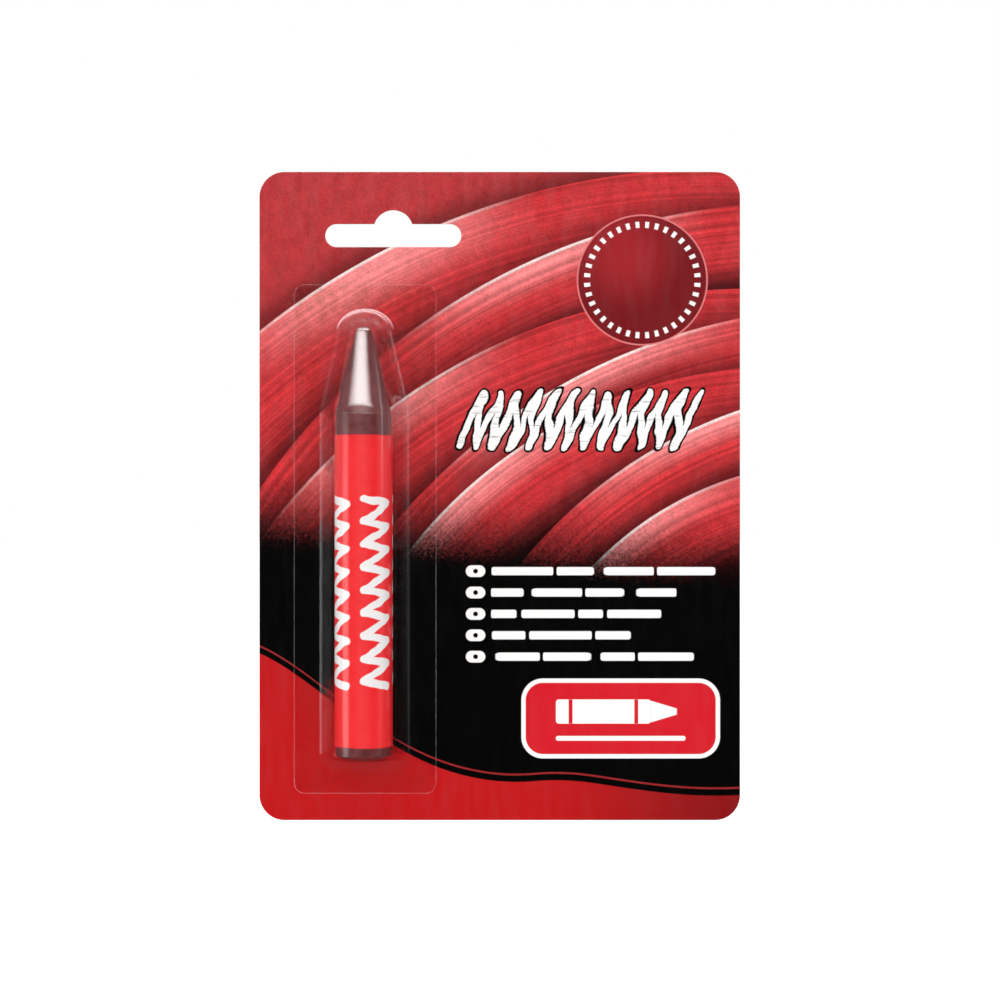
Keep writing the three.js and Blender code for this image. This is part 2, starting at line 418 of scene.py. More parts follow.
def draw_plate(net, page, colour):
    """A red plate with a white edge and a soft shadow."""
    u, v = 28, -51.5
    width, height, corner, edge_width = 46, 18.5, 5, 1
    shadow_u, shadow_v, shadow_strength = 0.5, -0.7, 0.6
    plate = page.box(u, v, width, height, corner)
    shadow = page.box(u + shadow_u, v + shadow_v, width, height, corner)
    colour = net.mix(net.smooth(shadow, 1.6, -0.4, 0, shadow_strength), colour, BLACK)
    colour = net.mix(page.inside(plate), colour, WHITE)
    colour = net.mix(page.inside(plate + edge_width), colour, PLATE_RED)
    return draw_pictogram(net, page, colour, u, v)


def draw_pictogram(net, page, colour, u, v):
    """The picture of a crayon with two bands, over the line that it has drawn."""
    body_u, body_v = u - 4, v + 1.6
    body_length, body_height, body_corner = 22, 5.6, 0.7
    cone_length, cone_slope, cone_half_height = 6, 0.3, 2.5
    band_place, band_half_width = 7.6, 0.45
    trail_drop, trail_length, trail_height, trail_corner = 4.6, 30, 1.1, 0.5
    body = page.box(body_u, body_v, body_length, body_height, body_corner)
    run = page.u - (body_u + body_length / 2)
    cone = abs(page.v - body_v) + run * cone_slope - cone_half_height
    cone = cone.at_least(-run).at_least(run - cone_length)
    colour = net.mix(page.inside(body.at_most(cone)), colour, WHITE)
    bands = (abs(abs(page.u - body_u) - band_place) - band_half_width).at_least(body)
    colour = net.mix(page.inside(bands), colour, PLATE_RED)
    trail = page.box(u, v - trail_drop, trail_length, trail_height, trail_corner)
    return net.mix(page.inside(trail), colour, WHITE)


def draw_swatch(net, page, colour):
    """A round swatch of the wax colour with a ring of short marks."""
    u, v, radius = 33, 50, 15
    mark_count, ring_inset, ring_half_width, edge_half_width = 36, 2.2, 0.7, 0.18
    swatch = page.disc(u, v, radius)
    sheen = net.smooth(page.disc(u - 4, v + 6, 0), radius, 2, 0, 0.5)
    colour = net.mix(page.inside(swatch), colour, net.mix(sheen, SWATCH_RED, SWATCH_LIT))
    turn = net.math("ARCTAN2", page.v - v, page.u - u)
    marks = abs((turn * (mark_count / math.tau)).part() - 0.5) - 0.2
    ring = abs(swatch + ring_inset) - ring_half_width
    colour = net.mix(page.inside(ring) * net.smooth(marks, 0.03, -0.03), colour, WHITE)
    return net.mix(page.inside(abs(swatch) - edge_half_width), colour, SWATCH_EDGE)


def draw_scribble(net, page, colour):
    """A long dense scribble of white wax with a dark edge."""
    u, v, legs, height, pitch = -8, 17.5, 25, 14, 4.2
    stroke, lean, unrest, edge_width = 1.5, 0.32, 3.4, 0.5
    tooth = net.noise(per_mm=2.6, detail=3.0, roughness=0.7)
    drag = net.noise(per_mm=0.8, detail=3.0, roughness=0.6, stretch=(0.25, 1, 2.2))
    scribble = page.scribble(u, v, legs, height, pitch, stroke, lean, unrest)
    colour = net.mix(page.inside(scribble - edge_width), colour, BLACK)
    wax = page.inside(scribble + (tooth - 0.5) * 0.5) * net.smooth(drag, 0.3, 0.42, 0.55, 1)
    return net.mix(wax, colour, WHITE)


def draw_list(net, page, colour):
    """Rows of bars of uneven length, each row after a round mark with a dark dot."""
    first_row, row_pitch, rows = -17.4, 4.95, 5
    mark_u, mark_stretch, mark_radius, dot_radius = -5.6, 0.9, 1.35, 0.55
    bars_u, bar_gap, bar_half_height, bar_round = -2.4, 0.6, 0.45, 0.5
    shortest_bar, bar_spread, fewest_bars, count_spread = 9.5, 4, 3, 1.9
    drift_rate, drift_reach = 0.3, 2
    down = (first_row - page.v) / row_pitch + 0.5
    row = down.floor()
    off_row = (down.part() - 0.5) * row_pitch
    on_rows = net.smooth(abs(down - rows / 2) - rows / 2, 0.01, -0.01)
    along = page.u - bars_u
    phase = net.chance(row + 0.23) * math.tau
    drift = net.math("SINE", along * drift_rate + phase) - net.math("SINE", phase)
    bar_length = net.chance(row + 0.61) * bar_spread + shortest_bar
    place = (along + drift * drift_reach) / bar_length
    bar_count = (net.chance(row + 0.37) * count_spread).floor() + fewest_bars
    beyond = (abs(place - bar_count * 0.5) - bar_count * 0.5) * bar_length
    gap = bar_gap - (0.5 - abs(place.part() - 0.5)) * bar_length
    off_bar_across = (abs(off_row) - bar_half_height).at_least(0)
    off_bar_along = (gap.at_least(beyond) + bar_round).at_least(0)
    bar = net.length(off_bar_across, off_bar_along) - bar_round
    colour = net.mix(page.inside(bar) * on_rows, colour, WHITE)
    mark = net.length((abs(page.u - mark_u) - mark_stretch).at_least(0), off_row) - mark_radius
    colour = net.mix(page.inside(mark) * on_rows, colour, WHITE)
    dot = net.length(page.u - mark_u, off_row) - dot_radius
    return net.mix(page.inside(dot) * on_rows, colour, BLACK)


def printed_front():
    """Varnished print: the drawing, with a slight peel and scuffs in its gloss."""
    net = material_net("card_print")
    page = Page(net)
    colour = draw_ribbons(net, page)
    for draw in (draw_ground, draw_plate, draw_swatch, draw_scribble, draw_list):
        colour = draw(net, page, colour)
    peel = net.noise(per_mm=1.1)
    scuffs = net.noise(per_mm=0.5, detail=4.0, roughness=0.7, stretch=(1, 1, 0.2))
    return net.surface(
        Base_Color=colour,
        Roughness=net.smooth(scuffs, 0.35, 0.7, 0.13, 0.2),
        Specular_IOR_Level=0.5,
        Normal=net.bump(peel, depth_mm=0.01, strength=0.2),
    )


# Other materials

FIBRE_PALE = ink(238, 232, 222)
FIBRE_DARK = ink(152, 140, 124)
FLECK = ink(118, 106, 94)
PRESSED_BOARD = ink(176, 166, 152)


def press_mark(net):
    """The mark of the seal on the back of the card: 1 on it and 0 beside it."""
    rim_inset, foot_inset, foot_corner, soft = 0.5, 5.5, 8, 0.5
    page = Page(net)
    middle = ((film_low + film_high) / 2 - CARD_MIDDLE) / MM
    size = (film_high - film_low) / MM
    rim = Vector((size.x - 2 * rim_inset, size.z - 2 * rim_inset))
    foot = Vector((size.x - 2 * foot_inset, size.z - 2 * foot_inset))
    outer = page.box(middle.x, middle.z, rim.x, rim.y, FLANGE_CORNER / MM)
    inner = page.box(middle.x, middle.z, foot.x, foot.y, foot_corner)
    return net.smooth(outer, soft, -soft) * net.smooth(inner, -soft, soft)


def board(name, pale, dark, pressed):
    """Bare board: cloudy pulp, fibres, flecks and, where it was pressed, the mark of the seal."""
    net = material_net(name)
    cloud = net.noise(per_mm=0.06, detail=3.0, roughness=0.6)
    fibres = net.noise(per_mm=1.6, detail=5.0, roughness=0.65, stretch=(0.35, 1, 1.6))
    long_fibres = net.noise(per_mm=1.1, stretch=(0.35, 1, 2.4))
    flecks = net.noise(per_mm=1.7)
    colour = net.mix(net.smooth(fibres * 0.7 + cloud * 0.3, 0.34, 0.66), dark, pale)
    colour = net.mix(net.smooth(long_fibres, 0.66, 0.72, 0, 0.5), colour, FIBRE_PALE)
    colour = net.mix(net.smooth(long_fibres, 0.33, 0.28, 0, 0.45), colour, FIBRE_DARK)
    colour = net.mix(net.smooth(flecks, 0.71, 0.76, 0, 0.6), colour, FLECK)
    height = fibres * 0.4 + long_fibres * 0.3
    if pressed:
        mark = press_mark(net)
        colour = net.mix(mark * 0.27, colour, PRESSED_BOARD)
        height = height - mark * 2
    return net.surface(
        Base_Color=colour,
        Roughness=net.smooth(fibres, 0.3, 0.7, 0.72, 0.86),
        Normal=net.bump(height, depth_mm=0.05, strength=0.6),
    )


def clear_film():
    """Clear film: a thin reflection that grows towards grazing, over what lies behind it."""
    face_on, at_grazing, grazing_power = 0.035, 0.95, 5
    net = material_net("clear_film")
    facing = Field(net, net.node("ShaderNodeLayerWeight").outputs["Facing"])
    reflection = facing ** grazing_power * at_grazing + face_on
    clear = net.shader("ShaderNodeBsdfTransparent", Color=ink(254, 255, 255))
    scuffs = net.noise(per_mm=0.9, detail=4.0, roughness=0.7, stretch=(1, 1, 0.3))
    gloss = net.shader(
        "ShaderNodeBsdfGlossy",
        Roughness=net.smooth(scuffs, 0.4, 0.8, 0.03, 0.1),
        Normal=net.bump(net.noise(per_mm=0.22), depth_mm=0.03, strength=0.3),
    )
    return net.end(net.mix_shaders(reflection, clear, gloss))


def cut_edge():
    """The cut edge of the film, which scatters some of the light that it lets through."""
    net = material_net("film_cut_edge")
    clear = net.shader("ShaderNodeBsdfTransparent")
    milky = net.shader("ShaderNodeBsdfPrincipled", Base_Color=ink(240, 243, 245), Roughness=0.2)
    cloud = net.noise(per_mm=0.7, detail=3.0, roughness=0.6)
    return net.end(net.mix_shaders(net.smooth(cloud, 0.3, 0.7, 0.08, 0.2), clear, milky))


def bonded_layer(name):
    """A clear layer that is bonded to the next one: no reflection, only a faint uneven tint."""
    net = material_net(name)
    cloud = net.smooth(net.noise(per_mm=0.7, detail=3.0, roughness=0.6), 0.3, 0.7)
    tint = net.mix(cloud, ink(253, 253, 251), ink(255, 255, 255))
    return net.end(net.shader("ShaderNodeBsdfTransparent", Color=tint))


def wax():
    """Dark red-brown wax with a cloudy bloom and fine drag lines along the stick."""
    net = material_net("wax_red_brown")
    bloom = net.noise(per_mm=0.45, detail=5.0, roughness=0.65)
    drag = net.noise(per_mm=1.5, detail=4.0, roughness=0.7, stretch=(1.6, 1.6, 0.12))
    colour = net.mix(net.smooth(bloom, 0.3, 0.75), ink(94, 24, 27), ink(124, 46, 47))
    colour = net.mix(net.smooth(drag, 0.62, 0.8, 0, 0.35), colour, ink(150, 92, 90))
    return net.surface(
        Base_Color=colour,
        Roughness=net.smooth(bloom, 0.3, 0.7, 0.34, 0.5),
        Specular_IOR_Level=0.45,
        Subsurface_Weight=0.08,
        Subsurface_Radius=(0.6 * MM, 0.2 * MM, 0.2 * MM),
        Normal=net.bump(drag * 0.6 + bloom * 0.4, depth_mm=0.06, strength=0.5),
    )


WRAPPER_RED = ink(253, 36, 42)
WRAPPER_DEEP = ink(246, 30, 36)
WRAPPER_WHITE = ink(250, 244, 244)
COLUMN_PITCH = math.radians(90)
COLUMN_TURN = math.radians(30.5)  # from the front to the middle of the middle column
COLUMN_REACH = 1.5 * COLUMN_PITCH  # from there to the outer sides of the three columns
ZIGZAG_TOP = -66 * MM
ZIGZAG_LENGTH = 44 * MM
ZIGZAG_LEGS = 17
ZIGZAG_WIDTH = 8 * MM
ZIGZAG_STROKE = 1.7 * MM


def wrapper_strokes(net):
    """Three columns of zigzag strokes, clear of the glued seam: 1 on a stroke and 0 beside it."""
    lean, unrest, soft_turn = 0.2, 1.2, 0.01
    x, y, z = net.axes(net.coordinates["Object"])
    right = x - AXIS.x
    front = AXIS.y - y
    cosine = math.cos(COLUMN_TURN)
    sine = math.sin(COLUMN_TURN)
    turn = net.math("ARCTAN2", right * cosine - front * sine, front * cosine + right * sine)
    column = (turn / COLUMN_PITCH + 0.5).part() - 0.5
    across = column * (COLUMN_PITCH * WRAPPER_RADIUS / MM)
    clear_of_seam = net.smooth(abs(turn), COLUMN_REACH + soft_turn, COLUMN_REACH - soft_turn)
    down = (ZIGZAG_TOP - z) / MM
    wobble = (net.noise(per_mm=0.3, detail=1.0) - 0.5) * unrest
    run = down + across * lean + wobble
    pitch = 2 * ZIGZAG_LENGTH / ZIGZAG_LEGS / MM
    line = net.zigzag(
        run, across + wobble * 0.5, ZIGZAG_LEGS, ZIGZAG_WIDTH / MM, pitch, ZIGZAG_STROKE / MM
    )
    tooth = net.noise(per_mm=3.0, detail=3.0, roughness=0.7)
    return net.smooth(line + (tooth - 0.5) * 0.25, 0.1, -0.1) * clear_of_seam


def wrapper_print():
    """Red coated paper, slightly mottled, with white strokes."""
    net = material_net("wrapper_print")
    strokes = wrapper_strokes(net)
    mottle = net.noise(per_mm=0.6, detail=5.0, roughness=0.7)
    red = net.mix(net.smooth(mottle, 0.3, 0.7), WRAPPER_DEEP, WRAPPER_RED)
    fibres = net.noise(per_mm=2.2, detail=4.0, roughness=0.6, stretch=(1, 1, 0.4))
    return net.surface(
        Base_Color=net.mix(strokes, red, WRAPPER_WHITE),
        Roughness=net.smooth(mottle, 0.3, 0.7, 0.34, 0.46),
        Specular_IOR_Level=0.3,
        Normal=net.bump(fibres, depth_mm=0.03, strength=0.4),
    )


def paper_edge():
    """The cut ends of the paper, with pale fibres."""
    net = material_net("paper_edge")
    fibres = net.noise(per_mm=4.0, detail=4.0, roughness=0.7)
    colour = net.mix(net.smooth(fibres, 0.3, 0.7), ink(232, 190, 186), ink(246, 232, 228))
    return net.surface(
        Base_Color=colour,
        Roughness=0.8,
        Normal=net.bump(fibres, depth_mm=0.03, strength=0.5),
    )


# Meshes

def finish_piece(bm, name, body, materials, node, sharp_degrees):
    """Turns a bmesh into a smooth piece that stands for a node and rides on its body."""
    bmesh.ops.remove_doubles(bm, verts=bm.verts, dist=MERGE)
    bmesh.ops.dissolve_degenerate(bm, edges=bm.edges, dist=MERGE)
    bmesh.ops.recalc_face_normals(bm, faces=bm.faces)
    for edge in bm.edges:
        edge.smooth = edge.calc_face_angle(0) < math.radians(sharp_degrees)
    mesh = bpy.data.meshes.new(name)
    bm.to_mesh(mesh)
    bm.free()
    for material in materials:
        mesh.materials.append(material)
    piece = bpy.data.objects.new(name, mesh)
    bpy.context.scene.collection.objects.link(piece)
    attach(piece, body)
    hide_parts(node)


def skin(bm, rings, material=0):
    """Joins each ring of points to the next with quads, and gives back the rings of corners."""
    rows = [[bm.verts.new(point) for point in ring] for ring in rings]
    for lower, upper in zip(rows, rows[1:]):
        for i in range(len(lower)):
            j = (i + 1) % len(lower)
            face = bm.faces.new((lower[i], lower[j], upper[j], upper[i]))
            face.material_index = material
            face.smooth = True
    return rows


def cap(bm, outer, hole, material=0):
    """Fills a flat face between an outer loop and a hole."""
    corners = [bm.verts.new(point) for point in (*outer, *hole)]
    for triangle in tessellate_polygon((outer, hole)):
        face = bm.faces.new([corners[i] for i in triangle])
        face.material_index = material


def crayon_outline(radius, point_radius, point, heel, shoulder_radius, turn_step, pitch):
    """Half outline from the point to the middle of the heel: (x, z) places with outward normals."""
    samples = []

    def arc(centre_x, centre_z, arc_radius, start, end):
        steps = max(1, math.ceil(abs(end - start) / turn_step))
        for step in range(steps + 1):
            angle = start + (end - start) * step / steps
            normal = Vector((math.cos(angle), math.sin(angle)))
            samples.append((Vector((centre_x, centre_z)) + normal * arc_radius, normal))

    def line(end):
        start, normal = samples[-1]
        steps = max(1, round((end - start).length / pitch))
        for step in range(1, steps):
            samples.append((start.lerp(end, step / steps), normal))

    centre = point - point_radius
    shoulder = point - CONE_LENGTH
    cone = math.atan2(radius, centre - shoulder) - math.asin(
        point_radius / math.hypot(radius, centre - shoulder)
    )
    ease = shoulder_radius * math.tan(cone / 2)
    arc(0, centre, point_radius, math.pi / 2, cone)
    line(Vector((radius - ease * math.sin(cone), shoulder + ease * math.cos(cone))))
    arc(radius - shoulder_radius, shoulder - ease, shoulder_radius, cone, 0)
    line(Vector((radius, heel + HEEL_RADIUS)))
    arc(radius - HEEL_RADIUS, heel + HEEL_RADIUS, HEEL_RADIUS, 0, -math.pi / 2)
    line(Vector((0, heel)))
    samples.append((Vector((0, heel)), Vector((0, -1))))
    samples[0] = (Vector((0, point)), Vector((0, 1)))
    return samples


def offset(samples, distance):
    """The places of an outline, moved out along their normals."""
    return [place + normal * distance for place, normal in samples]


def mirrored(half):
    """Closes a half outline with its mirror image."""
    return [*half, *(Vector((-p.x, *p[1:])) for p in reversed(half[1:-1]))]


def rounded_rectangle(low, high, inset, corner, steps):
    """Loop of (x, z) points round the box from low to high, moved in by inset."""
    radius = corner - inset
    centres = (
        (high.x - corner, high.z - corner),
        (low.x + corner, high.z - corner),
        (low.x + corner, low.z + corner),
        (high.x - corner, low.z + corner),
    )
    points = []
    for quarter, (x, z) in enumerate(centres):
        for step in range(steps + 1):
            angle = math.pi / 2 * (quarter + step / steps)
            points.append(Vector((x + radius * math.cos(angle), z + radius * math.sin(angle))))
    return points


def at_depth(points, y):
    """Sets (x, z) points in space at a depth y."""
    return [Vector((p.x, y, p.y)) for p in points]


def uneven(point, per_mm, depth):
    """How far a surface sinks in at a point, from 0 to depth."""
    return depth * (0.5 + 0.5 * noise.noise(point * (per_mm / MM)))


def make_card():
    """The card's solid with its edges eased, printed in front, bare at the edges and the back."""
    front, edge, back = 0, 1, 2
    facing, flat, sharp_edge = 0.8, 0.99, math.radians(60)
    bm = bmesh.new()
    bm.from_mesh(frame["nodes"]["backing_card"].data)
    bmesh.ops.remove_doubles(bm, verts=bm.verts, dist=2 * MERGE)
    bmesh.ops.dissolve_limit(
        bm, angle_limit=math.radians(1), verts=bm.verts, edges=bm.edges, delimit={"NORMAL"}
    )
    rims = [rim for rim in bm.edges if rim.calc_face_angle(0) > sharp_edge]
    bmesh.ops.bevel(bm, geom=rims, offset=CARD_EASE, segments=2, profile=0.6, affect="EDGES")
    bm.normal_update()
    for face in bm.faces:
        towards_back = face.normal.y
        face.material_index = front if towards_back < -facing else back if towards_back > facing else edge
        face.smooth = abs(towards_back) < flat
    materials = (
        printed_front(),
        board("card_edge", ink(236, 228, 222), ink(206, 190, 184), pressed=False),
        board("card_back", ink(214, 208, 198), ink(196, 188, 176), pressed=True),
    )
    finish_piece(bm, "printed_card", "pack", materials, "backing_card", sharp_degrees=50)


def cavity_outline():
    """The space that the film leaves the crayon, with a fine forming line below its shoulder."""
    groove_drop, groove_depth, groove_step = 0.85 * MM, 0.022 * MM, 0.08 * MM
    radius = DOME_RADIUS - FILM - CLEARANCE
    point = stick_high.z + END_PLAY
    outline = crayon_outline(
        radius, NOSE_RADIUS, point, stick_low.z, FILM_SHOULDER, math.radians(2), OUTLINE_PITCH
    )
    line_height = point - CONE_LENGTH - groove_drop
    groove = []
    for step, share in ((2, 0), (1, 0.7), (0, 1), (-1, 0.7), (-2, 0)):
        place = Vector((radius - share * groove_depth, line_height + step * groove_step))
        groove.append((place, Vector((1, 0))))
    below = next(i for i, (place, _) in enumerate(outline) if place.y < line_height)
    return [*outline[:below], *groove, *outline[below:]]


def wall_draft(normal):
    """The walls lean more beside the crayon than at its ends."""
    return END_DRAFT + (SIDE_DRAFT - END_DRAFT) * normal.x ** 2


def foot_offset(draft):
    """From the crayon's envelope out to where the foot fillet meets the flat flange."""
    wall = math.tan(draft) * (FOOT_CENTRE_Y - AXIS.y)
    return CLEARANCE + FILM + wall + FOOT_RADIUS / math.cos(draft)


def foot_outline(outline, margin):
    """The line along which the foot of the walls meets the flat flange, moved out by a margin."""
    half = [place + normal * (foot_offset(wall_draft(normal)) + margin) for place, normal in outline]
    return [Vector((AXIS.x + p.x, p.y)) for p in mirrored(half)]


def film_rings(outline, thickness):
    """Rings of one side of the film from the flat flange over the wall to the crest of the dome."""
    foot_steps, wall_steps, dome_steps = 10, 4, 26
    foot = FOOT_RADIUS + thickness
    dome_offset = CLEARANCE + FILM - thickness

    def on_foot(draft, step):
        angle = -math.pi / 2 - (math.pi / 2 - draft) * step / foot_steps
        return foot_offset(draft) + foot * math.cos(angle), FOOT_CENTRE_Y - foot * math.sin(angle)

    def on_wall(draft, step):
        distance, y = on_foot(draft, foot_steps)
        share = step / wall_steps
        return distance + (dome_offset - distance) * share, y + (AXIS.y - y) * share

    def ring(profile, step):
        half = []
        for place, normal in outline:
            distance, y = profile(wall_draft(normal), step)
            place = place + normal * distance
            half.append(Vector((place.x, y, place.y)))
        return [Vector((AXIS.x + p.x, p.y, p.z)) for p in mirrored(half)]

    rings = [ring(on_foot, step) for step in range(foot_steps + 1)]
    rings += [ring(on_wall, step) for step in range(1, wall_steps)]
    dome = mirrored(offset(outline, dome_offset))
    for step in range(dome_steps + 1):
        angle = math.pi / 2 * step / dome_steps
        across = math.cos(angle) if step < dome_steps else 0
        lift = math.sin(angle)
        rings.append(
            [Vector((AXIS.x + p.x * across, AXIS.y - abs(p.x) * lift, p.y)) for p in dome]
        )
    return rings


def settle(rings):
    """Sinks the film unevenly towards the crayon: wrinkles right of the nose, a flatter nose crest."""
    skin_depth, skin_per_mm = 0.07 * MM, 0.09
    wrinkle_depth, wrinkle_per_mm, wrinkle_reach = 0.3 * MM, 0.6, 9 * MM
    wrinkle_middle = Vector((AXIS.x + 5 * MM, AXIS.y + 4 * MM, stick_high.z - 3 * MM))
    flat_depth, flat_power = 0.24 * MM, 6
    flat_peak = 27 / 4  # makes 1 of the highest value of (1 - narrow) * narrow ** 2
    rings_at_foot = 3  # these stay as they are
    for point in (point for ring in rings[rings_at_foot:] for point in ring):
        to_axis = Vector((AXIS.x - point.x, max(0, AXIS.y - point.y), 0))
        reach = to_axis.length
        if reach == 0:
            continue
        near = max(0, 1 - (point - wrinkle_middle).length / wrinkle_reach)
        sink = uneven(point, wrinkle_per_mm, wrinkle_depth * near)
        if point.y <= AXIS.y:
            sink += uneven(point, skin_per_mm, skin_depth)
            narrow = 1 - min(1, reach / DOME_RADIUS)
            flat = flat_depth * flat_peak * (1 - narrow) * narrow ** 2
            sink += flat * (to_axis.y / reach) ** flat_power
        point += to_axis.normalized() * sink * min(1, reach / POINT_RADIUS) ** 2


def flange_edge():
    """Loops round the flange from its flat front over the rounded edge to its back."""
    ease_steps = 4
    front_y = film_high.y - FILM

    def loop(inset, y):
        points = rounded_rectangle(film_low, film_high, inset, FLANGE_CORNER, FLANGE_CORNER_STEPS)
        return at_depth(points, y)

    loops = []
    for step in range(ease_steps + 1):
        angle = math.pi / 2 * step / ease_steps
        inset = FLANGE_EASE * (1 - math.sin(angle))
        loops.append(loop(inset, front_y + FLANGE_EASE * (1 - math.cos(angle))))
    return [*loops, loop(0, film_high.y)]


def make_blister():
    """The film: its outer and inner skin, and the flange with a cut edge and a sealed back."""
    film, edge, sealed_face = 0, 1, 2
    outline = cavity_outline()
    bm = bmesh.new()
    outside = film_rings(outline, 0)
    inside = film_rings(outline, FILM)
    for rings in (outside, inside):
        settle(rings)
        skin(bm, rings, film)
    loops = flange_edge()
    skin(bm, loops, edge)
    cap(bm, loops[0], outside[0], film)
    cap(bm, loops[-1], inside[0], sealed_face)
    materials = (clear_film(), cut_edge(), bonded_layer("film_sealed_face"))
    finish_piece(bm, "clear_blister", "pack", materials, "blister", sharp_degrees=40)


def make_seal():
    """The lacquer layer, a hair thinner than the space between the card and the flange."""
    inset = seal_low.x - film_low.x
    inner = foot_outline(cavity_outline(), inset)
    outer = rounded_rectangle(seal_low, seal_high, 0, FLANGE_CORNER, FLANGE_CORNER_STEPS)
    front_y = seal_low.y + SEAL_GAP
    back_y = seal_high.y - SEAL_GAP
    bm = bmesh.new()
    for loop in (outer, inner):
        skin(bm, (at_depth(loop, front_y), at_depth(loop, back_y)))
    for y in (front_y, back_y):
        cap(bm, at_depth(outer, y), at_depth(inner, y))
    materials = (bonded_layer("seal_lacquer"),)
    finish_piece(bm, "seal_layer", "pack", materials, "heat_seal", sharp_degrees=40)


def make_stick():
    """The cast stick: slightly uneven skin, and a shallow sink in the heel."""
    turns = 112
    skin_share, skin_per_mm = 0.006, 0.12
    heel_top = stick_low.z + 0.01 * MM
    outline = crayon_outline(
        STICK_RADIUS, POINT_RADIUS, stick_high.z, stick_low.z, WAX_SHOULDER, math.radians(6), OUTLINE_PITCH
    )
    rings = []
    for place, _ in outline:
        ring = []
        for step in range(turns):
            angle = math.tau * step / turns
            direction = Vector((math.cos(angle), math.sin(angle), 0))
            height = Vector((0, 0, place.y))
            even_point = AXIS + direction * place.x + height
            sunk = place.x * (1 - uneven(even_point, skin_per_mm, skin_share))
            point = AXIS + direction * sunk + height
            if place.y < heel_top:
                point.z += HEEL_SINK * (1 - (place.x / STICK_RADIUS) ** 2)
            ring.append(point)
        rings.append(ring)
    bm = bmesh.new()
    skin(bm, rings)
    finish_piece(bm, "wax_crayon", "crayon", (wax(),), "wax_stick", sharp_degrees=30)


def wrapper_section(steps):
    """Section of the paper: outer points from its start to its end, then inner points back."""
    bore = STICK_RADIUS + PAPER_FIT
    lap = LAP_WIDTH / WRAPPER_RADIUS
    ramp = LAP_RAMP / WRAPPER_RADIUS
    start = math.pi / 2 - lap / 2
    inner, outer = [], []
    for step in range(steps + 1):
        turn = (math.tau + lap) * step / steps
        climb = min(1, max(0, (turn - math.tau + ramp) / ramp))
        radius = bore + climb * (PAPER + PAPER_SLACK)
        direction = Vector((math.cos(start - turn), math.sin(start - turn), 0))
        inner.append(AXIS + direction * radius)
        outer.append(AXIS + direction * (radius + PAPER - PAPER_SLACK))
    return [*outer, *reversed(inner)]


def make_wrapper():
    """A paper strip rolled once round the stick and lapped over its own start at the back."""
    turn_steps, rows, trim_per_mm = 150, 36, 0.2
    paper, cut_end = 0, 1
    section = wrapper_section(turn_steps)
    rings = []
    for row in range(rows + 1):
        height = paper_low.z + (paper_high.z - paper_low.z) * row / rows
        inward = 1 if row == 0 else -1 if row == rows else 0
        ring = []
        for point in section:
            place = Vector((point.x, point.y, height))
            place.z += inward * uneven(place, trim_per_mm, PAPER_TRIM)
            ring.append(place)
        rings.append(ring)
    bm = bmesh.new()
    corners = skin(bm, rings, paper)
    for row in (corners[0], corners[-1]):
        last = len(row) - 1
        for i in range(turn_steps):
            face = bm.faces.new((row[i], row[i + 1], row[last - i - 1], row[last - i]))
            face.material_index = cut_end
    materials = (wrapper_print(), paper_edge())
    finish_piece(
        bm, "rolled_wrapper", "crayon_paper", materials, "paper_wrapper", sharp_degrees=40
    )


make_card()
make_seal()
make_blister()
make_stick()
make_wrapper()

# Stage: floor, studio surround, lamps and camera

FLOOR_DROP = 250 * MM  # below the card
FLOOR_LEFT, FLOOR_RIGHT, FLOOR_FRONT, FLOOR_BACK = -20, 20, -0.9, 20
FLOOR_PALE = (0.9, 0.9, 0.9, 1)
FLOOR_IN_GLOSS = (0.08, 0.08, 0.08, 1)  # as reflections show it
FLOOR_LIFT = 0.4  # added for the camera alone
SURROUND_WHITE = (1, 1, 1, 1)
SURROUND_LEVELS = ((0.16, 0.02), (0.27, 0.4), (0.6, 0.5), (0.8, 1.0))  # place from front to back, level
OVERHEAD_FROM, OVERHEAD_FULL, OVERHEAD_LEVEL = 0.5, 0.85, 0.8
OVERHEAD_OFF_IN_GLOSS = 0.5  # share of the overhead light that reflections lose
VIEW_DISTANCE = 600 * MM
VIEW_WIDTH = 231.5 * MM  # seen across the picture, in the plane of the card
VIEW_OFFSET = Vector((0.06 * MM, 0, -0.93 * MM))  # from the card's middle to the picture's middle
SENSOR = 36.0


def floor_material():
    """Pale to the camera and darker in reflections."""
    net = material_net("floor_white")
    path = net.node("ShaderNodeLightPath").outputs
    colour = net.mix(path["Is Glossy Ray"], FLOOR_PALE, FLOOR_IN_GLOSS)
    diffuse = net.shader("ShaderNodeBsdfDiffuse", Color=colour)
    lift = net.shader("ShaderNodeEmission", Strength=FLOOR_LIFT)
    dark = net.shader("ShaderNodeEmission", Strength=0)
    shown = net.mix_shaders(path["Is Camera Ray"], dark, lift)
    return net.end(net.add_shaders(diffuse, shown))


def make_floor():
    """A wide flat floor that starts between the camera and the card."""
    mesh = bpy.data.meshes.new("floor")
    corners = (
        (FLOOR_LEFT, FLOOR_FRONT, 0),
        (FLOOR_RIGHT, FLOOR_FRONT, 0),
        (FLOOR_RIGHT, FLOOR_BACK, 0),
        (FLOOR_LEFT, FLOOR_BACK, 0),
    )
    mesh.from_pydata(corners, [], [(0, 1, 2, 3)])
    mesh.materials.append(floor_material())
    floor = bpy.data.objects.new("floor", mesh)
    floor.location = (CARD_MIDDLE.x, 0, card_low.z - FLOOR_DROP)
    bpy.context.scene.collection.objects.link(floor)


def surround_level(net, backward):
    """Grey of the surround, by its place from the front to the back."""
    ramp = net.node("ShaderNodeValToRGB")
    net.feed(ramp.inputs[0], backward * 0.5 + 0.5)
    stops = ramp.color_ramp.elements
    for place, level in SURROUND_LEVELS:
        stop = stops.new(place)
        stop.color = (level, level, level, 1)
    stops.remove(stops[0])
    stops.remove(stops[-1])
    return ramp.outputs[0]


